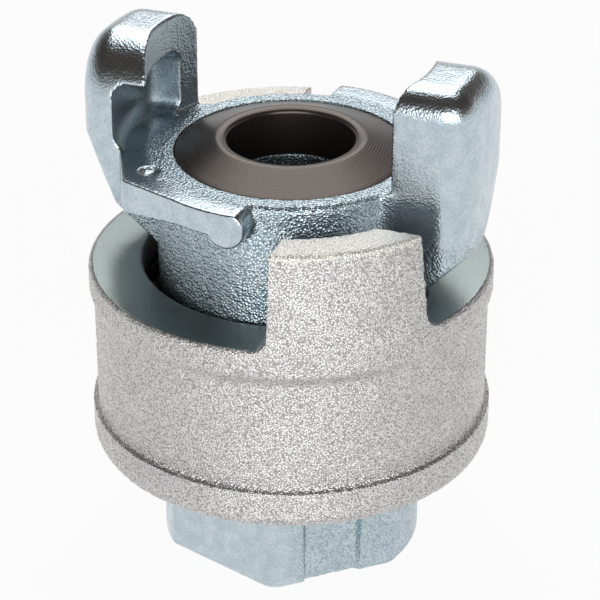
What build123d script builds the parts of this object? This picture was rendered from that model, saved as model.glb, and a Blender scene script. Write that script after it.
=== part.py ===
from build123d import *
import os
from math import hypot

# Claw hose coupling: one half of a quick-acting air hose coupling with a locking sleeve.
# All sizes are millimetres. The axis is Z, the wrench base stands on Z = 0.

# Heights, from the base face up
BASE_H = 18.6             # wrench flats
SLEEVE_RAISE = 0.4        # sleeve's lower edge above the flats, sleeve up
SLEEVE_H = 30.0           # sleeve without its walls
HEAD_H = 18.0             # sleeve's ring to the plate that the seal sits in
WALL_DROP = 2.9           # sleeve's walls stop this far under the plate
SLEEVE_BOTTOM = BASE_H + SLEEVE_RAISE
SLEEVE_TOP = SLEEVE_BOTTOM + SLEEVE_H
PLATE_TOP = SLEEVE_TOP + HEAD_H
WALL_TOP = PLATE_TOP - WALL_DROP
FAR = 60.0                # beyond every surface, for cutting shapes

# Head and barrel of the casting
HEAD_R = 20.6             # edge of the round head between the lugs
HEAD_EDGE = 0.6           # broken edge of the head
HEAD_EDGE_H = 3.4         # straight rim of the head above the flared barrel
HEAD_RISE = 0.7           # head over the barrel inside the sleeve
GUIDE_RISE = 0.3          # where the sleeve's ring rides on the barrel, towards the claws
GUIDE_WIDENING = 2.0      # and further out under the lugs
GUIDE_TURN = 10.0         # degrees from Y to the guide's wide direction
BARREL_R = HEAD_R - HEAD_RISE
GUIDE_R = BARREL_R + GUIDE_RISE
GUIDE_WIDE_R = GUIDE_R + GUIDE_WIDENING
BORE_R = 9.5              # air way through the body

# Wrench base with its pipe thread
BASE_RISE = 0.5           # turned surface over the barrel, between the two pairs of flats
FLAT_DEPTH = 2.6          # flats under the turned surface
BASE_DRAFT = 2.0          # degrees, casting taper of the flats
BASE_CORNER_R = 3.6       # corner between two flats
BASE_EDGE = 0.8
FIRST_FLAT = -48.5        # degrees, direction that the relieved flat faces
FLAT_TURN = 60.0          # degrees between two neighbouring flats
RELIEF_W = 8.4            # cored relief in two opposite flats
RELIEF_DEPTH = 1.4
RELIEF_FLARE = 1.0        # the relief opens outwards by as much
RELIEF_EDGE_R = 0.6
THREAD_MINOR_R = 12.3     # three-quarter inch pipe thread, bored to its minor size
THREAD_DEPTH = 20.0
THREAD_LEAD_IN = 1.3
BASE_R = BARREL_R + BASE_RISE
FLAT_TO_FLAT = 2 * (BASE_R - FLAT_DEPTH)

# Face seal, held by an undercut of the head
HEAD_RIM_W = 3.1          # plate between the seal and the head's edge
SEAL_R = HEAD_R - HEAD_RIM_W
SEAL_BORE_STEP = 0.1      # rubber stands back from the air way
SEAL_LIP = 2.05           # height of the inner lip over the plate
SEAL_SINK = 0.25          # outer edge of the seal under the plate
SEAL_T = 5.4
SEAL_GROOVE_T = 3.2       # undercut that keeps the seal in
SEAL_FLANGE_W = 1.0
SEAL_LIP_W = 1.4          # flat-ish crown of the lip
SEAL_LIP_DROP = 0.7       # rounding of the lip into the bore
SEAL_PLAY = 0.06
SEAL_BORE_R = BORE_R + SEAL_BORE_STEP
SEAL_GROOVE_R = SEAL_R + SEAL_FLANGE_W

# Locking sleeve, from its ring's bore outwards
RING_PLAY = 0.6           # ring over the guide
RING_T = 4.6
RING_SHOULDER = 4.4       # what the spring pushes on
SLEEVE_WALL = 3.2
BAND_TOP_RISE = 0.7       # bands over the plain middle of the sleeve
BAND_TOP_H = 5.6
BAND_LOW_RISE = 0.8
BAND_LOW_H = 6.8
BAND_STEP_H = 1.6
LINE_DEPTH = 0.35         # fine parting groove over the lower band
LINE_H = 0.5
RING_EDGE = 0.5
BAND_EDGE = 1.6           # lower edge, rounded over in two steps
BAND_EDGE_MID = 0.47
RING_BORE_R = GUIDE_WIDE_R + RING_PLAY
CAVITY_R = RING_BORE_R + RING_SHOULDER
SLEEVE_R = CAVITY_R + SLEEVE_WALL
BAND_TOP_R = SLEEVE_R + BAND_TOP_RISE
BAND_LOW_R = SLEEVE_R + BAND_LOW_RISE

# Claws
HEAD_PLAY = 0.8           # claw's inner face clears the other half's head
CLAW_IN_R = HEAD_R + HEAD_PLAY
CLAW_OUT_R = BAND_LOW_R   # outer face, flush with the sleeve
CLAW_HALF_W = 10.0
HOOK_T = 5.8              # hook over the pocket
CLAW_CLOSED_R = 4.6       # the end's rounding into the closed side
CLAW_OPEN_R = 9.4         # and into the open side
CLAW_EDGE_R = 4.5         # rounding of the outer face into the end and both sides
CLAW_RIM_R = 0.7          # rounding of the end into the inner face
CLAW_SINK = 4.6           # how far the claw's stock runs into the head
CLAW_ROOT_R = 8.0         # cast fillets between claw and barrel
CORE_INSET = 0.5          # how far these fillets run on inside the barrel's surface
CLAW_SKIRT_Z = -10.4      # under the plate, where the claw starts to taper in
CLAW_SKIRT_IN = 0.9       # draft of the outer face down to there
CLAW_FOOT_LAP = 0.8       # foot over the sleeve's ring
STOP_GAP = 0.3            # cast clearance between claw foot and ring
FLANK_DIR = 35.0          # degrees from the claw's centre line, direction of the cut-away flank
FLANK_DEPTH = 2.6         # flank inside the outer face at plate level
FLANK_BREAK_Z = -9.0      # under the plate, where the flank turns in at 45 degrees
FLANK_LEAN = 2.8          # flank further in at that break
CLAW_BACK_X = HEAD_R - CLAW_SINK
CLAW_SKIRT_R = CLAW_OUT_R - CLAW_SKIRT_IN
CLAW_FOOT_R = RING_BORE_R + CLAW_FOOT_LAP
FLANK_AT_PLATE = CLAW_OUT_R - FLANK_DEPTH
FLANK_AT_BREAK = FLANK_AT_PLATE - FLANK_LEAN

# Lugs, and the pockets that take the other half's lugs
LUG_REACH = 4.0           # lug beyond the head
LUG_T = 3.9
LUG_ROOT_T = 5.3          # thickness beside the claw, falling to the shoulder
LUG_ROOT_REACH = 2.55     # its outer corner beside the claw, further out
LUG_ROOT_AT = 45.0        # degrees from the claw to that corner
LUG_SHOULDER_AT = 65.7    # degrees, where the lug's outer edge turns round
LUG_RAMP_END = 9.0        # where the slope under the lug ends
LUG_END = 87.6            # degrees, the lug's end face
TIP_AT = 87.4             # degrees, centre of the rounded stop nose
TIP_R = 3.0
TIP_DROP = 2.5            # nose centre below the plate face
LUG_SINK = 3.0            # how far lug and nose run into the head
POCKET_H = 10.4
POCKET_PLAY = 1.9         # pocket beyond the lug that it takes
POCKET_WALL = 3.6         # closed side of the pocket
POCKET_END_R = 2.4        # cast fillets all round the pocket
LUG_R = HEAD_R + LUG_REACH
LUG_ROOT_R = LUG_R + LUG_ROOT_REACH
POCKET_R = LUG_R + POCKET_PLAY
CLAW_TOP = POCKET_H + HOOK_T

# Dimple left by a core pin on the plate
DIMPLE_R = 1.7
DIMPLE_DEPTH = 0.8
DIMPLE_OUT = 1.7          # its centre beyond the head's edge
DIMPLE_TURN = -138.5      # degrees
DIMPLE_AT_R = HEAD_R + DIMPLE_OUT

# Walls of the sleeve
WALL_T = 7.3
WALL_LEAN = 1.2           # draft of the outer surface
WALL_END_X = 7.2          # end beside the other lug
WALL_CLAW_GAP = 5.2
WALL_EDGE = 0.5
WALL_FOOT_R = 2.2
WALL_IN_R = BAND_TOP_R - WALL_T
WALL_OUT_TOP_R = BAND_TOP_R - WALL_LEAN
WALL_END_Y = CLAW_HALF_W + WALL_CLAW_GAP

# Spring, its washer and the retaining ring
WIRE = 1.8
SPRING_SIDE = 3.0         # middle of the wire inside the cavity's wall
SPRING_R = CAVITY_R - SPRING_SIDE
SPRING_TURNS = 4.0
SPRING_STEPS = 16         # straight lengths that stand for each turn
SPRING_SEAT_GAP = 0.02
WASHER_T = 1.5
WASHER_SIDE = 0.6         # washer inside the cavity's wall
WASHER_PLAY = 0.3         # lets the washer over the base
WASHER_INSET = 3.6        # washer's upper face inside the sleeve
WASHER_TOP = SLEEVE_BOTTOM + WASHER_INSET
CLIP_T = 1.6
CLIP_LAP = 1.5            # how far the ring holds the washer
CLIP_GAP = 7.0            # opening of the retaining ring
CLIP_GROOVE_DEPTH = 1.0
CLIP_PLAY = 0.06
CLIP_TURN = 130.0         # degrees, where the ring's opening points
WASHER_R = CAVITY_R - WASHER_SIDE
WASHER_HOLE_R = BASE_R + WASHER_PLAY
CLIP_R = WASHER_HOLE_R + CLIP_LAP

LUG_BOTTOM = PLATE_TOP - LUG_T
CORE_R = BARREL_R - CORE_INSET
CAVITY_TOP = SLEEVE_TOP - RING_T
CLAW_FOOT = SLEEVE_TOP + STOP_GAP


def both_sides(shape):
    """The shape and its half-turn copy about the axis."""
    return shape + Rot(0, 0, 180) * shape


def turned(points):
    """Solid of revolution about Z from radius and height pairs."""
    outline = Polyline(*[(r, 0, z) for r, z in points], close=True)
    return revolve(make_face(outline), Axis.Z)


def disc(radius, low, high):
    """Plain cylinder between two heights."""
    return Pos(0, 0, low) * Cylinder(radius, high - low, align=(Align.CENTER, Align.CENTER, Align.MIN))


def block(x, y, z):
    """Box given by its limits along each axis."""
    size = [hi - lo for lo, hi in (x, y, z)]
    return Pos(x[0], y[0], z[0]) * Box(*size, align=(Align.MIN,) * 3)


def wrench_base():
    """Turned and tapered foot with two pairs of flats, one flat of each pair relieved."""
    strip = Rectangle(FLAT_TO_FLAT, 4 * BASE_R)
    plan = Rot(0, 0, FIRST_FLAT) * strip & Rot(0, 0, FIRST_FLAT - FLAT_TURN) * strip
    blunt = plan.vertices().sort_by(lambda v: v.distance_to((0, 0, 0)))[:2]
    base = extrude(fillet(blunt, BASE_CORNER_R), BASE_H, taper=-BASE_DRAFT) & disc(BASE_R, 0, BASE_H)
    base = chamfer(base.faces().sort_by(Axis.Z)[0].edges(), BASE_EDGE)
    relief = Pos(FLAT_TO_FLAT / 2 - RELIEF_DEPTH, 0, -1) * extrude(relief_plan(), BASE_H + 1)
    return base - both_sides(Rot(0, 0, FIRST_FLAT) * relief)


def relief_plan():
    """Plan of the cored relief, open outwards, with its two edges eased."""
    half = RELIEF_W / 2
    flare_x = RELIEF_DEPTH + RELIEF_FLARE
    outline = Polyline((0, -half), (0, half), (flare_x, half + RELIEF_FLARE), (BASE_R, half + RELIEF_FLARE),
                       (BASE_R, -half - RELIEF_FLARE), (flare_x, -half - RELIEF_FLARE), close=True)
    plan = make_face(outline)
    return fillet([v for v in plan.vertices() if v.X < 0.01], RELIEF_EDGE_R)


def head_and_barrel():
    """Round head on a barrel that flares under the lugs, with the groove for the retaining ring."""
    head_low = PLATE_TOP - HEAD_EDGE_H
    head = disc(HEAD_R, head_low, PLATE_TOP)
    head = chamfer(head.faces().sort_by(Axis.Z)[-1].edges(), HEAD_EDGE)
    wide = Rot(0, 0, GUIDE_TURN) * Ellipse(GUIDE_R, GUIDE_WIDE_R)
    flare = loft([Pos(0, 0, SLEEVE_TOP) * wide, Pos(0, 0, head_low) * Circle(HEAD_R)])
    guide = Pos(0, 0, CAVITY_TOP) * extrude(wide, RING_T)
    groove_top = WASHER_TOP - WASHER_T
    groove = disc(BARREL_R + 1, groove_top - CLIP_T - 2 * CLIP_PLAY, groove_top)
    barrel = disc(BARREL_R, BASE_H, CAVITY_TOP) - (groove - disc(BARREL_R - CLIP_GROOVE_DEPTH, 0, PLATE_TOP))
    return barrel + guide + flare + head


def lug():
    """Ledge that the other half's claw hooks under: thick at its claw, with a rounded stop nose."""
    arc_start, arc_mid, arc_end = [Vector(-LUG_R, 0).rotate(Axis.Z, turn) for turn in
                                   (LUG_SHOULDER_AT, (LUG_SHOULDER_AT + LUG_END) / 2, LUG_END)]
    inner = Vector(-HEAD_R + LUG_SINK, 0).rotate(Axis.Z, LUG_END)
    root = Vector(-LUG_ROOT_R, 0).rotate(Axis.Z, LUG_ROOT_AT)
    straight = Polyline(arc_end, inner, (0, 0), (-CLAW_FOOT_R, 0), (-CLAW_FOOT_R, -CLAW_HALF_W),
                        root, arc_start)
    plan = make_face(straight + ThreePointArc(arc_start, arc_mid, arc_end))
    low = PLATE_TOP - LUG_ROOT_T
    under = Polyline((root.X, 0, low), (-LUG_RAMP_END, 0, LUG_BOTTOM), (LUG_R, 0, LUG_BOTTOM),
                     (LUG_R, 0, low - 1), (root.X, 0, low - 1), close=True)
    ledge = Pos(0, 0, low) * extrude(plan, LUG_ROOT_T) - extrude(make_face(under), FAR, both=True)
    nose = Rot(0, 0, 180 + TIP_AT) * Pos(0, 0, PLATE_TOP - TIP_DROP) * Rot(0, 90, 0) * Cylinder(
        TIP_R, FAR, align=(Align.CENTER, Align.CENTER, Align.MIN))
    return ledge + (nose & disc(LUG_R, 0, PLATE_TOP)) - disc(HEAD_R - LUG_SINK, 0, LUG_BOTTOM)


def claw_root():
    """Block that joins the claw at -X to the barrel, with a wide cast fillet on each side."""
    half = Pos(-CLAW_FOOT_R / 2, 0) * Rectangle(CLAW_FOOT_R, 2 * CLAW_HALF_W)
    plan = Circle(CORE_R) + half
    inside = [v for v in plan.vertices() if abs(v.distance_to((0, 0, 0)) - CORE_R) < 0.01 and v.X < 0]
    plan = fillet(inside, CLAW_ROOT_R)
    return Pos(0, 0, CLAW_FOOT) * extrude(plan, PLATE_TOP - CLAW_FOOT)


def claw_blank():
    """Upright stock of the claw at -X, with its end and every outer edge rounded."""
    top = PLATE_TOP + CLAW_TOP
    half = CLAW_HALF_W
    open_arc = CenterArc((CLAW_OPEN_R - half, top - CLAW_OPEN_R), CLAW_OPEN_R, 180, -90)
    closed_arc = CenterArc((half - CLAW_CLOSED_R, top - CLAW_CLOSED_R), CLAW_CLOSED_R, 90, -90)
    crown = Line(open_arc @ 1, closed_arc @ 0)
    straight = Polyline(closed_arc @ 1, (half, CLAW_FOOT), (-half, CLAW_FOOT), open_arc @ 0)
    section = Plane.YZ * make_face(open_arc + crown + closed_arc + straight)
    bar = Pos(-CLAW_BACK_X, 0, 0) * extrude(section, -CLAW_OUT_R)
    blank = bar & disc(CLAW_OUT_R, 0, top + 1)
    outer = [e for e in blank.edges() if e.center().Z > CLAW_FOOT + 1
             and all(abs(hypot((e @ t).X, (e @ t).Y) - CLAW_OUT_R) < 0.01 for t in (0, 1))]
    return fillet(outer, CLAW_EDGE_R)


def cut_flank():
    """What is left off the claw's open side: steep beside the plate, then at 45 degrees."""
    break_z = PLATE_TOP + FLANK_BREAK_Z
    above = 2 * CLAW_TOP
    high = FLANK_AT_PLATE + above * (FLANK_AT_PLATE - FLANK_AT_BREAK) / -FLANK_BREAK_Z
    side = Polyline((FLANK_AT_BREAK - break_z, 0, 0), (FLANK_AT_BREAK, 0, break_z),
                    (high, 0, PLATE_TOP + above), (FAR, 0, PLATE_TOP + above), (FAR, 0, 0), close=True)
    return Rot(0, 0, 180 + FLANK_DIR) * extrude(make_face(side), FAR, both=True)


def reach():
    """Space that the other half's head turns in, flared where it leaves the claw's end."""
    top = PLATE_TOP + CLAW_TOP
    centre = (CLAW_IN_R + CLAW_RIM_R, top - CLAW_RIM_R)
    curve = CenterArc(centre, CLAW_RIM_R, 90, 90)
    straight = Polyline((CLAW_IN_R, centre[1]), (CLAW_IN_R, PLATE_TOP), (0, PLATE_TOP), (0, top + 1),
                        (centre[0], top + 1), (centre[0], top))
    return revolve(Plane.XZ * make_face(curve + straight), Axis.Z)


def claw():
    """Hook at -X: foot tapered to the sleeve, one flank cut away, pocket open towards -Y."""
    skirt_z = PLATE_TOP + CLAW_SKIRT_Z
    keel = turned([(0, CLAW_FOOT), (CLAW_FOOT_R, CLAW_FOOT), (CLAW_SKIRT_R, skirt_z), (CLAW_OUT_R, PLATE_TOP),
                   (CLAW_OUT_R, PLATE_TOP + FAR), (0, PLATE_TOP + FAR)])
    pocket_end = CLAW_HALF_W - POCKET_WALL
    pocket = disc(POCKET_R, PLATE_TOP, PLATE_TOP + POCKET_H) & block(
        (-FAR, 0), (-FAR, pocket_end), (0, PLATE_TOP + FAR))
    round_edges = [e for e in pocket.edges() if e.center().X < -1 and not at_mouth(e)]
    hook = (claw_blank() & keel) - reach() - fillet(round_edges, POCKET_END_R)
    return (hook + claw_root()) - (cut_flank() - disc(CORE_R, 0, PLATE_TOP))


def at_mouth(edge):
    """Whether an edge of the pocket lies where the pocket opens."""
    box = edge.bounding_box()
    return box.size.X < 0.01 and abs(box.min.X) < 0.01


def coupling_body():
    """The whole casting, bored, threaded at its base and recessed for the seal."""
    body = wrench_base() + head_and_barrel() + both_sides(lug() + claw())
    seat = disc(SEAL_R + SEAL_PLAY, PLATE_TOP - SEAL_T - SEAL_SINK, PLATE_TOP + 1)
    groove_low = PLATE_TOP - SEAL_T - SEAL_SINK
    undercut = disc(SEAL_GROOVE_R + SEAL_PLAY, groove_low, groove_low + SEAL_GROOVE_T)
    bore = disc(BORE_R, -1, PLATE_TOP)
    mouth_r = THREAD_MINOR_R + THREAD_LEAD_IN
    port = turned([(0, -1), (mouth_r, -1), (mouth_r, 0), (THREAD_MINOR_R, THREAD_LEAD_IN),
                   (THREAD_MINOR_R, THREAD_DEPTH), (BORE_R, THREAD_DEPTH + THREAD_MINOR_R - BORE_R),
                   (0, THREAD_DEPTH + THREAD_MINOR_R - BORE_R)])
    ball_r = (DIMPLE_R ** 2 + DIMPLE_DEPTH ** 2) / (2 * DIMPLE_DEPTH)
    dimple = Rot(0, 0, DIMPLE_TURN) * Pos(DIMPLE_AT_R, 0, PLATE_TOP - DIMPLE_DEPTH + ball_r) * Sphere(ball_r)
    return body - seat - undercut - bore - port - both_sides(dimple)


def face_seal():
    """Moulded rubber washer with a raised inner lip and a flange that snaps into the undercut."""
    low = PLATE_TOP - SEAL_T - SEAL_SINK
    step = low + SEAL_GROOVE_T - SEAL_PLAY
    top = PLATE_TOP + SEAL_LIP
    outline = Polyline((SEAL_BORE_R, 0, low), (SEAL_GROOVE_R, 0, low), (SEAL_GROOVE_R, 0, step), (SEAL_R, 0, step),
                       (SEAL_R, 0, PLATE_TOP - SEAL_SINK), (SEAL_BORE_R + SEAL_LIP_W, 0, top),
                       (SEAL_BORE_R, 0, top - SEAL_LIP_DROP), close=True)
    return revolve(make_face(outline), Axis.Z)


def locking_sleeve():
    """Ring with a spring cavity below and two upstanding walls that fill the gaps beside the claws."""
    line_top = SLEEVE_BOTTOM + BAND_LOW_H
    step_z = SLEEVE_TOP - BAND_TOP_H
    outline = Polyline((CAVITY_R, 0, SLEEVE_BOTTOM), (BAND_LOW_R - BAND_EDGE, 0, SLEEVE_BOTTOM),
                       (BAND_LOW_R - BAND_EDGE_MID, 0, SLEEVE_BOTTOM + BAND_EDGE_MID),
                       (BAND_LOW_R, 0, SLEEVE_BOTTOM + BAND_EDGE),
                       (BAND_LOW_R, 0, line_top - LINE_H), (SLEEVE_R - LINE_DEPTH, 0, line_top - LINE_H),
                       (SLEEVE_R - LINE_DEPTH, 0, line_top), (SLEEVE_R, 0, line_top), (SLEEVE_R, 0, step_z),
                       (BAND_TOP_R, 0, step_z + BAND_STEP_H), (BAND_TOP_R, 0, SLEEVE_TOP - RING_EDGE),
                       (BAND_TOP_R - RING_EDGE, 0, SLEEVE_TOP), (RING_BORE_R, 0, SLEEVE_TOP),
                       (RING_BORE_R, 0, CAVITY_TOP), (CAVITY_R, 0, CAVITY_TOP), close=True)
    return revolve(make_face(outline), Axis.Z) + both_sides(sleeve_wall())


def sleeve_wall():
    """One upstanding wall: an arc of the ring's outer surface, square at both ends, with filleted feet."""
    low = SLEEVE_TOP - RING_EDGE
    shell = turned([(WALL_IN_R, low), (BAND_TOP_R, low), (WALL_OUT_TOP_R, WALL_TOP - WALL_EDGE),
                    (WALL_OUT_TOP_R - WALL_EDGE, WALL_TOP), (WALL_IN_R + WALL_EDGE, WALL_TOP),
                    (WALL_IN_R, WALL_TOP - WALL_EDGE)])
    by_lug = Plane.XZ * wall_end(WALL_END_X)
    by_claw = Plane.YZ * mirror(wall_end(WALL_END_Y), Plane.YZ)
    return shell & extrude(by_lug, FAR, both=True) & extrude(by_claw, FAR, both=True)


def wall_end(start):
    """Side view of a wall end: upright from its start outwards, with a fillet down to the ring."""
    foot = start - WALL_FOOT_R
    outline = Polyline((foot, CAVITY_TOP), (FAR, CAVITY_TOP), (FAR, PLATE_TOP), (start, PLATE_TOP),
                       (start, SLEEVE_TOP + WALL_FOOT_R))
    curve = CenterArc((foot, SLEEVE_TOP + WALL_FOOT_R), WALL_FOOT_R, 0, -90)
    return make_face(outline + curve + Line((foot, SLEEVE_TOP), (foot, CAVITY_TOP)))


def sleeve_spring():
    """Round wire spring with ends ground flat, between the washer and the sleeve's shoulder."""
    low = WASHER_TOP + SPRING_SEAT_GAP
    high = CAVITY_TOP - SPRING_SEAT_GAP
    coil = Pos(0, 0, low) * Helix((high - low) / SPRING_TURNS, high - low, SPRING_R)
    steps = round(SPRING_TURNS * SPRING_STEPS)
    path = Polyline(*[coil @ (i / steps) for i in range(steps + 1)])
    section = Plane(origin=path @ 0, z_dir=path % 0) * Circle(WIRE / 2)
    wire = sweep(section, path=path, transition=Transition.RIGHT)
    ground = 2 * WIRE
    return wire - disc(CAVITY_R, low - ground, low) - disc(CAVITY_R, high, high + ground)


def spring_washer():
    """Flat washer that the spring stands on."""
    low = WASHER_TOP - WASHER_T
    return disc(WASHER_R, low, WASHER_TOP) - disc(WASHER_HOLE_R, 0, PLATE_TOP)


def retaining_ring():
    """Split ring sprung into the barrel's groove."""
    high = WASHER_TOP - WASHER_T - CLIP_PLAY
    inner = BARREL_R - CLIP_GROOVE_DEPTH + CLIP_PLAY
    ring = disc(CLIP_R, high - CLIP_T, high) - disc(inner, 0, PLATE_TOP)
    opening = block((0, FAR), (-CLIP_GAP / 2, CLIP_GAP / 2), (0, PLATE_TOP))
    return ring - Rot(0, 0, CLIP_TURN) * opening


PARTS = {
    "coupling_body": coupling_body,
    "face_seal": face_seal,
    "locking_sleeve": locking_sleeve,
    "sleeve_spring": sleeve_spring,
    "spring_washer": spring_washer,
    "retaining_ring": retaining_ring,
}

os.makedirs("parts", exist_ok=True)
for name, make in PARTS.items():
    solid = make()
    solid.label = name
    export_step(solid, f"parts/{name}.step")
    print(name, "volume", round(solid.volume, 1))
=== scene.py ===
import bmesh
import bpy
import numpy as np
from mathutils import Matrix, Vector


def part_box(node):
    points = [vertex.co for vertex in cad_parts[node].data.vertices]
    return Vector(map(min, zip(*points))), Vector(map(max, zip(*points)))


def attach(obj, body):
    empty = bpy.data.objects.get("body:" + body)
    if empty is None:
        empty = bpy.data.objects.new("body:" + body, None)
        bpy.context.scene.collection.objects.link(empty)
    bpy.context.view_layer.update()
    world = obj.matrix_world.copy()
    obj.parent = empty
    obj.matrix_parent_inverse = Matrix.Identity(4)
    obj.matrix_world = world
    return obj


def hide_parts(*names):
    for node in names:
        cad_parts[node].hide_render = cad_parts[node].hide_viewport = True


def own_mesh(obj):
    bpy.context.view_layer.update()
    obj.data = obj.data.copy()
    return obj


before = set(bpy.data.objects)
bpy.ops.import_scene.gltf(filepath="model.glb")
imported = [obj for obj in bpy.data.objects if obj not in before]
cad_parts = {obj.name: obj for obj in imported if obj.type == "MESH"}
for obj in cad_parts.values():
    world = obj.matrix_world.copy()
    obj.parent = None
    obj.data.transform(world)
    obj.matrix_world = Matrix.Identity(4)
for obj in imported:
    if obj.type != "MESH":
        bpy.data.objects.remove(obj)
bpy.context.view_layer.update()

# The studio: a white paper sweep, seen from a little above as for a catalogue picture.
# One broad lamp hangs behind and over the object, and a second stands low behind the camera.
# The room is dark overhead, and plated metal shows it as a dark band between two white ones.
MM = 0.001
PLATE_Z = 67.0                     # height of the head's face, which the camera was fitted about
CAMERA_AZIMUTH = np.radians(20.5)  # the camera stands this far round from -Y towards +X
CAMERA_OUT = 328.4                 # from the axis, level
CAMERA_UP = 154.0                  # above the head's face
CAMERA_PITCH = np.radians(28.746)  # below level
CAMERA_YAW = np.radians(0.234)     # aimed a little to the right of the axis
CAMERA_LENS, FILM_WIDE = 144.96, 36
CAMERA_NEAR = 10.0                 # nothing closer than this is drawn
FLOOR_HALF = 4000.0
UNDER_BASE_R = 15.0                # the paper that shows through the air way stays unlit
PAPER_GLOW = 0.93                  # share of plain white in the paper as it is seen
WALL_LIGHT = [(0.0, "#E6E7E8"), (0.15, "#D6D6D6"),
              (0.36, "#6A615B"), (0.62, "#4A413C")]  # by the sine of the height above level
LAMP_AIM = 60.0                    # height on the axis that the lamps face
LAMP_OUT = 800.0                   # from there


def linear(code):
    """Linear red, green, blue and alpha of an sRGB hex colour."""
    srgb = np.array([int(code[i:i + 2], 16) for i in (1, 3, 5)]) / 255
    value = np.where(srgb <= 0.04045, srgb / 12.92, ((srgb + 0.055) / 1.055) ** 2.4)
    return (*value, 1.0)


def add(tree, kind, settings=None, **sockets):
    """One node: its settings, then each socket, by its name or by its number as i0 or i1, set to a value
    or joined to an output."""
    node = tree.nodes.new(kind)
    for key, value in (settings or {}).items():
        setattr(node, key, value)
    for key, value in sockets.items():
        socket = node.inputs[int(key[1:]) if key[1:].isdigit() else key.replace("_", " ")]
        if isinstance(value, bpy.types.NodeSocket):
            tree.links.new(value, socket)
        else:
            socket.default_value = value
    return node


def new_material(name):
    """An empty node material and its tree."""
    material = bpy.data.materials.new(name)
    material.use_nodes = True
    material.node_tree.nodes.clear()
    return material, material.node_tree


camera_data = bpy.data.cameras.new("camera")
camera_data.lens = CAMERA_LENS
camera_data.sensor_width = FILM_WIDE
camera_data.clip_start = CAMERA_NEAR * MM
camera = bpy.data.objects.new("camera", camera_data)
camera.location = (CAMERA_OUT * np.sin(CAMERA_AZIMUTH) * MM, -CAMERA_OUT * np.cos(CAMERA_AZIMUTH) * MM,
                   (PLATE_Z + CAMERA_UP) * MM)
camera.rotation_euler = (np.pi / 2 - CAMERA_PITCH, 0, CAMERA_AZIMUTH - CAMERA_YAW)
bpy.context.scene.collection.objects.link(camera)
bpy.context.scene.camera = camera
bpy.context.scene.view_settings.view_transform = "Standard"

side = FLOOR_HALF * MM
floor_mesh = bpy.data.meshes.new("floor")
floor_mesh.from_pydata([(-side, -side, 0), (side, -side, 0), (side, side, 0), (-side, side, 0)], [],
                       [(0, 1, 2, 3)])
floor = bpy.data.objects.new("floor", floor_mesh)
bpy.context.scene.collection.objects.link(floor)

# Matt white paper. Where the camera, a gloss or a glass sees it, most of it is plain white.
floor_paper, tree = new_material("white_paper_sweep")
ray = add(tree, "ShaderNodeLightPath")
seen = add(tree, "ShaderNodeMath", i0=ray.outputs["Is Camera Ray"], i1=ray.outputs["Is Glossy Ray"])
seen = add(tree, "ShaderNodeMath", {"use_clamp": True}, i0=seen.outputs[0],
           i1=ray.outputs["Is Transmission Ray"])
place = add(tree, "ShaderNodeTexCoord")
out = add(tree, "ShaderNodeVectorMath", {"operation": "LENGTH"}, i0=place.outputs["Object"])
open_floor = add(tree, "ShaderNodeMath", {"operation": "GREATER_THAN"}, i0=out.outputs["Value"],
                 i1=UNDER_BASE_R * MM)
lit = add(tree, "ShaderNodeMath", {"operation": "MULTIPLY"}, i0=seen.outputs[0], i1=open_floor.outputs[0])
lit = add(tree, "ShaderNodeMath", {"operation": "MULTIPLY"}, i0=lit.outputs[0], i1=PAPER_GLOW)
paper = add(tree, "ShaderNodeBsdfDiffuse", Color=linear("#F4F5F6"))
glow = add(tree, "ShaderNodeEmission", Color=linear("#FFFFFF"), Strength=1.0)
mix = add(tree, "ShaderNodeMixShader", i0=lit.outputs[0], i1=paper.outputs[0], i2=glow.outputs[0])
add(tree, "ShaderNodeOutputMaterial", Surface=mix.outputs[0])
floor_mesh.materials.append(floor_paper)

world = bpy.data.worlds.new("studio")
world.use_nodes = True
bpy.context.scene.world = world
tree = world.node_tree
tree.nodes.clear()
direction = add(tree, "ShaderNodeTexCoord")
height = add(tree, "ShaderNodeSeparateXYZ", Vector=direction.outputs["Generated"]).outputs["Z"]
bands = add(tree, "ShaderNodeValToRGB", Fac=height)
ramp = bands.color_ramp
while len(ramp.elements) < len(WALL_LIGHT):
    ramp.elements.new(0.5)
for stop, (sine, colour) in zip(ramp.elements, WALL_LIGHT):
    stop.position = sine
    stop.color = linear(colour)
room = add(tree, "ShaderNodeBackground", Color=bands.outputs[0], Strength=1.0)
add(tree, "ShaderNodeOutputWorld", Surface=room.outputs[0])


def soft_lamp(name, height, turn, wide, tall, power):
    """Broad lamp on a sphere of radius LAMP_OUT about the object's middle, facing it: height above level and
    turn from the camera's side in degrees, its sides in millimetres and its power in watts."""
    data = bpy.data.lights.new(name, "AREA")
    data.shape = "RECTANGLE"
    data.size, data.size_y = wide * MM, tall * MM
    data.energy = power
    lamp = bpy.data.objects.new(name, data)
    height, turn = np.radians(height), CAMERA_AZIMUTH + np.radians(turn)
    level = LAMP_OUT * np.cos(height)
    lamp.location = np.array((level * np.sin(turn), -level * np.cos(turn),
                              LAMP_OUT * np.sin(height) + LAMP_AIM)) * MM
    lamp.rotation_euler = (np.pi / 2 - height, 0, turn)
    lamp.visible_camera = False
    bpy.context.scene.collection.objects.link(lamp)


soft_lamp("behind_and_over", height=54, turn=180, wide=560, tall=880, power=3.8)
soft_lamp("behind_camera", height=18, turn=0, wide=900, tall=440, power=4.0)

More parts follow.
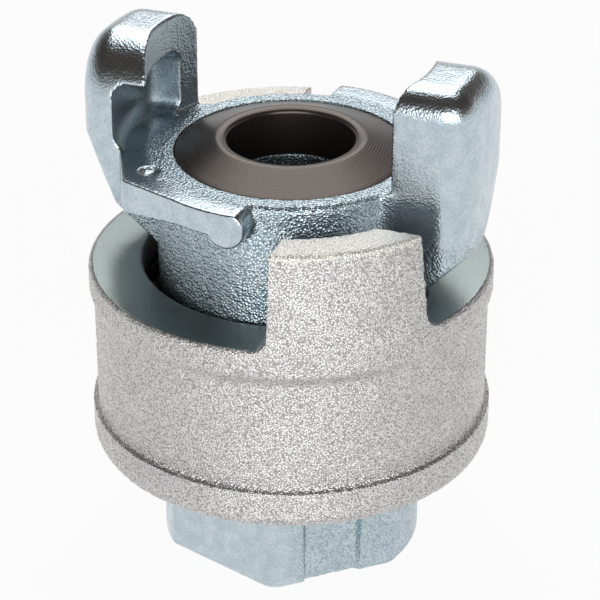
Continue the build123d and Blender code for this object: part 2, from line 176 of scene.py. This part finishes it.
# The casting: malleable iron, sand cast in one piece with its claws, barrel and wrench base.
# It is tumbled, which leaves a small radius on every edge, bored and tapped, and then zinc plated.
# The sand shows through the plate, except on the claws, which were ground, and on the base's left.
THREAD_R = 12.3             # inner radius of the three-quarter inch pipe thread
THREAD_PITCH = 1.814
THREAD_DEEP = 1.1
THREAD_FLAT = 0.06          # share of the pitch at its crest and at its root
THREAD_FROM, THREAD_TO = 1.3, 18.6
TAP_IN, TAP_OUT = 0.6, 1.5  # height in which the thread fades in at the mouth and out at its end
BORE_STRAY = 0.3            # how far a point of the bore may lie off its radius
CLEAN_WALL = 1.5            # no sand this far round the bore
SAND_MM = 1.5               # waves of the cast skin
SAND_DEEP = 0.035           # half their depth
SAND_SEED = 3
CLAW_R, CLAW_Z = (20.6, 22), (54, 62)        # where the grinding of the claws sets in
BASE_Z, BASE_LEFT = (18, 20), (-1, 2)        # where the base ends, and where its left side does
CLAW_GROUND = 0.75          # share of the grain that grinding takes off the claws
BASE_SMOOTH, LEFT_SMOOTH = 0.35, 0.4         # shares that the base lacks, and its left side too
HOOK_FACING, HOOK_Z = (0.1, 0.5), (64, 68)   # the hooks' hollow faces the axis over the plate
HOOK_R, HOOK_BACK_R = (18.8, 20), (22.6, 23.6)
HOOK_SHADE = 0.6             # strength of the painted shade in front of the back wall
CLOUD_MM = 2.5              # drift of the plate from one tint to the other
TINT_RANGE = (0.4, 0.6)
DOME_RIM = (0.3, 0.75)      # where a grain's dome turns into the pit, in grain widths
RIM_GLOSS = 0.62            # roughness of the painted highlight on a rim
CASTING_LIMIT = 190000      # triangles
RIGHTWARD = (np.cos(CAMERA_AZIMUTH), np.sin(CAMERA_AZIMUTH), 0)  # the object's right, as the camera stands


def smoothstep(value, low, high):
    """0 below low, 1 above high, and between them the S of three squares less two cubes."""
    t = np.clip((value - low) / (high - low), 0, 1)
    return t * t * (3 - 2 * t)


def bake(piece):
    """Puts the result of a piece's modifiers into its mesh."""
    bpy.context.view_layer.update()
    piece.data = bpy.data.meshes.new_from_object(piece.evaluated_get(bpy.context.evaluated_depsgraph_get()))
    piece.modifiers.clear()


def cast_skin(node, name, facet, passes):
    """A node's surface made anew in even facets, whose points then move halfway to the middle of their
    neighbours in so many passes. It rounds each edge by about a facet."""
    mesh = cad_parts[node].data.copy()
    work = bmesh.new()
    work.from_mesh(mesh)
    bmesh.ops.remove_doubles(work, verts=work.verts, dist=0.0001 * MM)
    work.to_mesh(mesh)
    work.free()
    mesh.materials.clear()
    piece = bpy.data.objects.new(name, mesh)
    bpy.context.scene.collection.objects.link(piece)
    remesh = piece.modifiers.new("remesh", "REMESH")
    remesh.mode = "VOXEL"
    remesh.voxel_size = facet * MM
    relax = piece.modifiers.new("relax", "SMOOTH")
    relax.factor = 0.5
    relax.iterations = passes
    bake(piece)
    return piece


def thin(piece, triangles, node):
    """Brings a piece down to so many triangles, smooth shaded and in the box of the node it stands for."""
    count = len(piece.data.polygons) * 2
    if count > triangles:
        piece.modifiers.new("thin", "DECIMATE").ratio = triangles / count
        bake(piece)
    put_points(piece, points_of(piece), node)
    piece.data.polygons.foreach_set("use_smooth", np.ones(len(piece.data.polygons), bool))


def points_of(piece):
    """A piece's vertices in millimetres, one row each."""
    flat = np.empty(len(piece.data.vertices) * 3, np.float32)
    piece.data.vertices.foreach_get("co", flat)
    return flat.reshape(-1, 3).astype(float) / MM


def normals_of(piece):
    """The outward directions at a piece's vertices, one row each."""
    flat = np.empty(len(piece.data.vertices) * 3, np.float32)
    piece.data.vertex_normals.foreach_get("vector", flat)
    return flat.reshape(-1, 3).astype(float)


def put_points(piece, xyz, node):
    """Sets a piece's vertices, in millimetres, and holds them to the box of the node it stands for."""
    low, high = (np.array(corner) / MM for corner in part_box(node))
    piece.data.vertices.foreach_set("co", (np.clip(xyz, low, high) * MM).astype(np.float32).ravel())
    piece.data.update()


def sand_waves(xyz, wave, seed, count=28):
    """Uneven relief from -1 to 1: the sum of plane waves in random directions and phases, each from two
    thirds to one and a half times as long as wave."""
    dice = np.random.default_rng(seed)
    ways = dice.normal(size=(count, 3))
    ways *= (2 * np.pi / wave * dice.uniform(0.7, 1.5, count) / np.linalg.norm(ways, axis=1))[:, None]
    total = np.zeros(len(xyz))
    for way, phase in zip(ways, dice.uniform(0, 2 * np.pi, count)):
        total += np.cos(xyz @ way + phase)
    return np.clip(total / np.sqrt(count), -1, 1)


def mark(piece, name, value):
    """A number at each vertex, which the material reads by its name."""
    layer = piece.data.attributes.new(name, "FLOAT", "POINT")
    layer.data.foreach_set("value", np.asarray(value, np.float32))


def thread_cut(xyz, out):
    """How far the bore's wall moves outwards: a tooth that rises and falls once in a pitch of height and
    turns once round the axis in it, with flats, and fades at both ends of the thread."""
    high = xyz[:, 2]
    turn = np.arctan2(xyz[:, 1], xyz[:, 0]) / (2 * np.pi)
    in_port = (np.abs(out - THREAD_R) < BORE_STRAY) & (high > THREAD_FROM) & (high < THREAD_TO)
    tooth = 1 - np.abs(2 * ((high / THREAD_PITCH - turn) % 1) - 1)
    cut = in_port * THREAD_DEEP * smoothstep(tooth, THREAD_FLAT, 1 - THREAD_FLAT)
    return cut * (smoothstep(high, THREAD_FROM, THREAD_FROM + TAP_IN)
                  * smoothstep(-high, -THREAD_TO, -THREAD_TO + TAP_OUT))


def casting_grain(xyz):
    """1 where the sand shows in full. The claws lack a share out from the head and over its foot, and the
    base lacks one all over and another on its left."""
    claw = smoothstep(np.hypot(xyz[:, 0], xyz[:, 1]), *CLAW_R) * smoothstep(xyz[:, 2], *CLAW_Z)
    left = 1 - smoothstep(xyz @ RIGHTWARD, *BASE_LEFT)
    base = 1 - smoothstep(xyz[:, 2], *BASE_Z)
    return 1 - CLAW_GROUND * claw - base * (BASE_SMOOTH + LEFT_SMOOTH * left)


def hook_hollow_shade(xyz, out, normal):
    """Painted shade in a hook's hollow, as a darker tone: on faces turned to the axis, outside the seal and
    over the head's plate, with the rest of its strength at the back wall."""
    facing = -np.sum(normal[:, :2] * xyz[:, :2], axis=1) / np.maximum(out, 1)
    hollow = smoothstep(facing, *HOOK_FACING) * smoothstep(xyz[:, 2], *HOOK_Z) * smoothstep(out, *HOOK_R)
    return hollow * (HOOK_SHADE + (1 - HOOK_SHADE) * smoothstep(out, *HOOK_BACK_R))


casting = cast_skin("coupling_body", "coupling_casting", facet=0.28, passes=3)
xyz = points_of(casting)
out = np.hypot(xyz[:, 0], xyz[:, 1])
cut = thread_cut(xyz, out)
grain = casting_grain(xyz) * (out > THREAD_R + CLEAN_WALL)
xyz -= normals_of(casting) * (SAND_DEEP * grain * (1 + sand_waves(xyz, SAND_MM, SAND_SEED)))[:, None]
xyz[:, :2] *= (1 + cut / np.maximum(out, 1))[:, None]
put_points(casting, xyz, "coupling_body")
thin(casting, CASTING_LIMIT, "coupling_body")
xyz = points_of(casting)
mark(casting, "grain", casting_grain(xyz))
# The casting's shade mark is painted shade in the hooks' hollows.
mark(casting, "shade", hook_hollow_shade(xyz, np.hypot(xyz[:, 0], xyz[:, 1]), normals_of(casting)))


def zinc_plate(name, bright, tinted, pits, shaded, gloss, shaded_gloss, grain_mm, lift_mm, rim=None):
    """Bright zinc over a sand casting. Each sand grain leaves a small dome with a pit round it, in the
    relief, the colour and the gloss, as strong as the piece is marked, and the plate drifts between two
    tints. Another tone, with its own gloss, lies where the piece is marked as shade, and a pale, rough
    painted highlight lies where it is marked with one, on a piece that is given a rim tone for it."""
    material, tree = new_material(name)
    place = add(tree, "ShaderNodeTexCoord").outputs["Object"]
    amount = add(tree, "ShaderNodeAttribute", {"attribute_name": "grain"}).outputs["Fac"]
    shade = add(tree, "ShaderNodeAttribute", {"attribute_name": "shade"}).outputs["Fac"]
    sand = add(tree, "ShaderNodeTexVoronoi", {"feature": "F1"}, Vector=place, Scale=1 / (grain_mm * MM))
    cloud = add(tree, "ShaderNodeTexNoise", Vector=place, Scale=1 / (CLOUD_MM * MM), Detail=4.0)
    drift = add(tree, "ShaderNodeMapRange", Value=cloud.outputs[0], From_Min=TINT_RANGE[0],
                From_Max=TINT_RANGE[1])
    pit = add(tree, "ShaderNodeMapRange", Value=sand.outputs["Distance"], From_Min=DOME_RIM[0],
              From_Max=DOME_RIM[1])
    deep = add(tree, "ShaderNodeMath", {"operation": "MULTIPLY"}, i0=pit.outputs[0], i1=amount)
    plate = add(tree, "ShaderNodeMix", {"data_type": "RGBA"}, Factor=drift.outputs[0], A=linear(bright),
                B=linear(tinted))
    plate = add(tree, "ShaderNodeMix", {"data_type": "RGBA"}, Factor=deep.outputs[0],
                A=plate.outputs["Result"], B=linear(pits))
    plate = add(tree, "ShaderNodeMix", {"data_type": "RGBA"}, Factor=shade, A=plate.outputs["Result"],
                B=linear(shaded))
    shine = add(tree, "ShaderNodeMapRange", Value=deep.outputs[0], To_Min=gloss[0], To_Max=gloss[1])
    shine = add(tree, "ShaderNodeMix", Factor=shade, A=shine.outputs[0], B=shaded_gloss)
    if rim:
        painted_highlight = add(tree, "ShaderNodeAttribute", {"attribute_name": "painted_highlight"}).outputs["Fac"]
        plate = add(tree, "ShaderNodeMix", {"data_type": "RGBA"}, Factor=painted_highlight, A=plate.outputs["Result"],
                    B=linear(rim))
        shine = add(tree, "ShaderNodeMix", Factor=painted_highlight, A=shine.outputs[0], B=RIM_GLOSS)
    height = add(tree, "ShaderNodeMath", {"operation": "MULTIPLY"}, i0=sand.outputs["Distance"], i1=amount)
    bump = add(tree, "ShaderNodeBump", {"invert": True}, Height=height.outputs[0], Distance=lift_mm * MM,
               Strength=1.0)
    shader = add(tree, "ShaderNodeBsdfPrincipled", Base_Color=plate.outputs["Result"], Metallic=1.0,
                 Roughness=shine.outputs[0], Normal=bump.outputs[0])
    add(tree, "ShaderNodeOutputMaterial", Surface=shader.outputs[0])
    return material


# Zinc with a blue chromate: a cool mid-grey, half mirror, that is bright where it faces the paper and
# the lamps, dark where it faces the room overhead, and glitters from the grain.
# Its shaded tone, darker and rougher, is painted shade in the hooks' hollows.
casting.data.materials.append(zinc_plate(
    "blue_zinc_plated_casting", bright="#C9D4DB", tinted="#BBC8D0", pits="#889CA3", shaded="#828E93",
    gloss=(0.2, 0.44), shaded_gloss=0.44, grain_mm=0.38, lift_mm=0.13))
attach(casting, "body")
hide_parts("coupling_body")

# The locking sleeve: a second sand casting of the same iron, left coarse from the mould and zinc plated.
# Only the top of its ring is turned, so that it slides true under the claws, and it is smooth. Its dark teal
# tone is painted shade and painted reflection from the barrel and walls round it.
# The tops of its two walls carry a pale painted highlight, in full along their outer rims.
SLEEVE_TOP = 49.0           # the turned face
RING_R = 22.8               # the bore, which slides on the barrel
TURNED_EDGE = (0.4, 0.1)    # the sand fades between these depths under the turned face
TURNED_REACH = 0.5          # and only this near to it
BORE_EDGE = 0.4             # no sand this far round the bore
SKIN_MM = 1.3               # waves of the cast skin
SKIN_DEEP = 0.05            # half their depth
SKIN_SEED = 5
FACE_UP, FACE_NEAR = (0.9, 0.98), 0.3        # a turned point looks up and lies on the face
TURNED_SMOOTH = 0.9         # share of the grain that it lacks
WALL_Z = (62.6, 63.4)       # the walls' ends begin here
WALL_RIM_R, WALL_RIM_UP = (29.2, 30), (0.1, 0.3)
# The painted highlight lies over the walls' tops at this strength, and in full along their outer rims.
WALL_TOP_UP, WALL_TOP_HIGHLIGHT = (0.6, 0.9), 0.5

sleeve = cast_skin("locking_sleeve", "sleeve_casting", facet=0.26, passes=2)
xyz = points_of(sleeve)
out = np.hypot(xyz[:, 0], xyz[:, 1])
under_face = smoothstep(xyz[:, 2], SLEEVE_TOP - TURNED_EDGE[0], SLEEVE_TOP - TURNED_EDGE[1])
cast_side = 1 - under_face * (np.abs(xyz[:, 2] - SLEEVE_TOP) < TURNED_REACH)
cast_side *= out > RING_R + BORE_EDGE
skin = SKIN_DEEP * cast_side * (1 + sand_waves(xyz, SKIN_MM, SKIN_SEED))
xyz -= normals_of(sleeve) * skin[:, None]
put_points(sleeve, xyz, "locking_sleeve")
thin(sleeve, CASTING_LIMIT, "locking_sleeve")
xyz = points_of(sleeve)
out = np.hypot(xyz[:, 0], xyz[:, 1])
up = normals_of(sleeve)[:, 2]
turned = smoothstep(up, *FACE_UP) * (np.abs(xyz[:, 2] - SLEEVE_TOP) < FACE_NEAR)
mark(sleeve, "grain", 1 - TURNED_SMOOTH * turned)
# The turned face carries the painted shade tone.
mark(sleeve, "shade", turned)
# Painted highlight: near white and rough along the walls' outer top rims, at half strength over their tops.
wall_end = smoothstep(xyz[:, 2], *WALL_Z)
wall_rim = wall_end * smoothstep(out, *WALL_RIM_R) * smoothstep(up, *WALL_RIM_UP)
mark(sleeve, "painted_highlight", np.maximum(WALL_TOP_HIGHLIGHT * wall_end * smoothstep(up, *WALL_TOP_UP), wall_rim))

# Zinc with a clear chromate: a warm pale grey, soft as coarse paper, with a glitter of bright domes.
# Its shaded tone is the painted shade and reflection on the turned face.
sleeve.data.materials.append(zinc_plate(
    "clear_zinc_plated_sand_casting", bright="#E6E6E5", tinted="#DBDADC", pits="#ABA9A6", shaded="#8B9595",
    # The rim tone is the painted highlight on the walls.
    gloss=(0.32, 0.5), shaded_gloss=0.3, grain_mm=0.31, lift_mm=0.14, rim="#FFFDF5"))
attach(sleeve, "sleeve")
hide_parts("locking_sleeve")

# The face seal: a washer of black nitrile rubber, moulded, with a flange that snaps in under the head's
# plate. Its face is turned to a cone, and the tool leaves fine rings that catch the light.
SEAL_LOW, SEAL_STEP, SEAL_EDGE, SEAL_TOP = 61.35, 64.49, 66.75, 69.05
SEAL_BORE_R, SEAL_LIP_R, SEAL_R, SEAL_FLANGE_R = 9.6, 11.0, 17.5, 18.5
LIP_DROP = 0.4              # of the lip at its bore
SEAL_BENDS = np.array([0.15, 0.15, 0.15, 0.15, 0.2, 0.6, 0.6])  # reach of the bend at each corner
BEND_POINTS = 5             # along each bend
SEAL_FACETS = 224           # round the axis
RUBBER_LINE_MM = 0.42       # turned rings, drawn coarser than the real quarter of a millimetre to show
RUBBER_LINE_DEEP = 0.008
LINE_CLEAR = (0.6, 0.7)     # plain at the face's outer and inner edge
LINE_POINTS = 6             # in each ring
DUST_MM = 0.3               # streaks along the rings


def rounded(corners, reach):
    """A closed outline with each corner bent: a parabola from a point before the corner to one after it,
    each as far from it as its reach."""
    before = np.roll(corners, 1, axis=0) - corners
    after = np.roll(corners, -1, axis=0) - corners
    start = corners + before / np.linalg.norm(before, axis=1)[:, None] * reach[:, None]
    end = corners + after / np.linalg.norm(after, axis=1)[:, None] * reach[:, None]
    t = np.linspace(0, 1, BEND_POINTS)[None, :, None]
    bends = (1 - t) ** 2 * start[:, None] + 2 * t * (1 - t) * corners[:, None] + t ** 2 * end[:, None]
    return bends.reshape(-1, 2)


def turned_face(outer, inner, line, deep):
    """Points down a cone from its outer to its inner edge, sunk into it by a rounded groove, a cosine of
    the way along, once every line."""
    run = np.linalg.norm(inner - outer)
    along = np.arange(LINE_CLEAR[0], run - LINE_CLEAR[1], line / LINE_POINTS)[:, None]
    way = (inner - outer) / run
    inward = np.array([-way[1], way[0]])
    return outer + way * along + inward * deep * (0.5 - 0.5 * np.cos(2 * np.pi * along / line))


def revolved(name, outline, count):
    """Mesh of an outline of radius and height, in millimetres, carried round the Z axis in so many steps
    and closed both ways."""
    angle = np.arange(count)[:, None] * 2 * np.pi / count
    xyz = np.stack([outline[:, 0] * np.cos(angle), outline[:, 0] * np.sin(angle),
                    np.broadcast_to(outline[:, 1], (count, len(outline)))], -1) * MM
    here = np.arange(count * len(outline)).reshape(count, -1)
    across = np.roll(here, -1, axis=0)
    faces = np.stack([here, across, np.roll(across, -1, axis=1), np.roll(here, -1, axis=1)], -1)
    faces = faces.reshape(-1, 4)
    mesh = bpy.data.meshes.new(name)
    mesh.from_pydata(xyz.reshape(-1, 3).tolist(), [], faces.tolist())
    mesh.polygons.foreach_set("use_smooth", np.ones(len(faces), bool))
    piece = bpy.data.objects.new(name, mesh)
    bpy.context.scene.collection.objects.link(piece)
    return piece


corners = np.array([(SEAL_BORE_R, SEAL_LOW), (SEAL_FLANGE_R, SEAL_LOW), (SEAL_FLANGE_R, SEAL_STEP),
                    (SEAL_R, SEAL_STEP), (SEAL_R, SEAL_EDGE), (SEAL_LIP_R, SEAL_TOP),
                    (SEAL_BORE_R, SEAL_TOP - LIP_DROP)])
face_outer, face_inner = corners[4], corners[5]
to_face = 5 * BEND_POINTS   # the bends before the face
bends = rounded(corners, SEAL_BENDS)
face = turned_face(face_outer, face_inner, RUBBER_LINE_MM, RUBBER_LINE_DEEP)
seal = revolved("seal_washer", np.vstack([bends[:to_face], face, bends[to_face:]]), SEAL_FACETS)
put_points(seal, points_of(seal), "face_seal")

# Nitrile rubber with its turning lines: near black, with a brown sheen where the rings face a lamp.
rubber, tree = new_material("turned_nitrile_rubber")
place = add(tree, "ShaderNodeTexCoord").outputs["Object"]
flat = add(tree, "ShaderNodeMapping", Vector=place, Scale=(1, 1, 0))
out = add(tree, "ShaderNodeVectorMath", {"operation": "LENGTH"}, i0=flat.outputs[0])
dust = add(tree, "ShaderNodeTexNoise", {"noise_dimensions": "1D"}, W=out.outputs["Value"],
           Scale=1 / (DUST_MM * MM), Detail=4.0, Roughness=0.7)
line = add(tree, "ShaderNodeMapRange", Value=dust.outputs[0], From_Min=0.15, From_Max=0.85)
tone = add(tree, "ShaderNodeMix", {"data_type": "RGBA"}, Factor=line.outputs[0], A=linear("#181514"),
           B=linear("#2C2624"))
shine = add(tree, "ShaderNodeMapRange", Value=line.outputs[0], To_Min=0.24, To_Max=0.36)
shader = add(tree, "ShaderNodeBsdfPrincipled", Base_Color=tone.outputs["Result"], IOR=1.52,
             Roughness=shine.outputs[0], Specular_IOR_Level=1.0, Specular_Tint=linear("#F2E2D6"))
add(tree, "ShaderNodeOutputMaterial", Surface=shader.outputs[0])
seal.data.materials.append(rubber)
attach(seal, "body")
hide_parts("face_seal")

# The sleeve's spring: oil tempered round wire, coiled cold with closed ends that are ground flat.
# It stands on its washer inside the sleeve and pushes it up. The real one shortens as the sleeve goes down,
# while this one keeps one length and rides with the body.
SPRING_LOW, SPRING_HIGH = 22.62, 44.38
SPRING_R = 24.2             # from the axis to the wire's middle
WIRE_R = 0.9
SPRING_TURNS = 6.0
END_RISE = 2.0              # height at which the first turn closes, from the end
END_MIDDLE = 0.5            # height of the wire's middle at its very end, less than WIRE_R and so ground
WIRE_MARK_MM = 0.3


def coiled_wire(name, steps, around):
    """Mesh of a closed-end spring: a circle round the wire, carried along a helix whose height runs slowly
    over the first and last turn and evenly between, then cut flat at both ends."""
    t = np.linspace(0, 1, steps)
    rise = np.interp(t * SPRING_TURNS, [0, 1, SPRING_TURNS - 1, SPRING_TURNS],
                     [SPRING_LOW + END_MIDDLE, SPRING_LOW + END_RISE,
                      SPRING_HIGH - END_RISE, SPRING_HIGH - END_MIDDLE])
    turn = t * SPRING_TURNS * 2 * np.pi
    ring = np.arange(around) * 2 * np.pi / around
    out = SPRING_R + WIRE_R * np.cos(ring)[None, :]
    high = np.clip(rise[:, None] + WIRE_R * np.sin(ring)[None, :], SPRING_LOW, SPRING_HIGH)
    xyz = np.stack([out * np.cos(turn)[:, None], out * np.sin(turn)[:, None], high], -1) * MM
    here = np.arange(steps * around).reshape(steps, around)
    over = np.roll(here, -1, axis=1)
    sides = np.stack([here[:-1], here[1:], over[1:], over[:-1]], -1).reshape(-1, 4).tolist()
    mesh = bpy.data.meshes.new(name)
    mesh.from_pydata(xyz.reshape(-1, 3).tolist(), [], sides + [here[0].tolist(), here[-1, ::-1].tolist()])
    mesh.polygons.foreach_set("use_smooth", np.array([True] * len(sides) + [False] * 2))
    piece = bpy.data.objects.new(name, mesh)
    bpy.context.scene.collection.objects.link(piece)
    return piece


def bare_steel(name, bright, deep, mark_mm, stretch, gloss, lift_mm):
    """Steel with marks of its making: noise in the colour, the gloss and the relief, drawn out along each
    axis whose stretch is less than 1."""
    material, tree = new_material(name)
    place = add(tree, "ShaderNodeTexCoord").outputs["Object"]
    spread = add(tree, "ShaderNodeMapping", Vector=place, Scale=stretch)
    marks = add(tree, "ShaderNodeTexNoise", Vector=spread.outputs[0], Scale=1 / (mark_mm * MM), Detail=3.0)
    tone = add(tree, "ShaderNodeMix", {"data_type": "RGBA"}, Factor=marks.outputs[0], A=linear(deep),
               B=linear(bright))
    shine = add(tree, "ShaderNodeMapRange", Value=marks.outputs[0], To_Min=gloss[0], To_Max=gloss[1])
    bump = add(tree, "ShaderNodeBump", Height=marks.outputs[0], Distance=lift_mm * MM, Strength=1.0)
    shader = add(tree, "ShaderNodeBsdfPrincipled", Base_Color=tone.outputs["Result"], Metallic=1.0,
                 Roughness=shine.outputs[0], Normal=bump.outputs[0])
    add(tree, "ShaderNodeOutputMaterial", Surface=shader.outputs[0])
    return material


spring = coiled_wire("spring_coil", steps=289, around=14)

# Oil tempered wire: a dark, even grey with a soft line of light along it.
spring.data.materials.append(bare_steel(
    "oil_tempered_wire", bright="#7C7F82", deep="#55585C", mark_mm=WIRE_MARK_MM, stretch=(1, 1, 0.3),
    gloss=(0.3, 0.45), lift_mm=0.01))
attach(spring, "body")
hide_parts("sleeve_spring")
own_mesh(spring)

# The spring's washer: pressed flat from rolled steel strip, zinc plated and slipped on from below.
# It lies on the retaining ring and carries the spring.
STRIP_MARK_MM = 0.35


def dress(node, material):
    """Gives a CAD node its finish."""
    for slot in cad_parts[node].material_slots:
        slot.material = material


# Plated strip: a pale, slightly cool grey with long straight rolling marks, all one way.
dress("spring_washer", bare_steel(
    "zinc_plated_strip", bright="#C6CACD", deep="#A4A9AD", mark_mm=STRIP_MARK_MM, stretch=(0.08, 1, 1),
    gloss=(0.28, 0.42), lift_mm=0.012))

# The retaining ring: bent from strip, split, hardened and phosphated.
# It is sprung open over the base and snaps into the barrel's groove, where it holds the washer.
PHOSPHATE_MM = 0.25

# Phosphate: matt charcoal grey, with a fine even speck from its crystals.
dress("retaining_ring", bare_steel(
    "phosphated_strip", bright="#5B5C5D", deep="#3E3F40", mark_mm=PHOSPHATE_MM, stretch=(1, 1, 1),
    gloss=(0.5, 0.65), lift_mm=0.01))
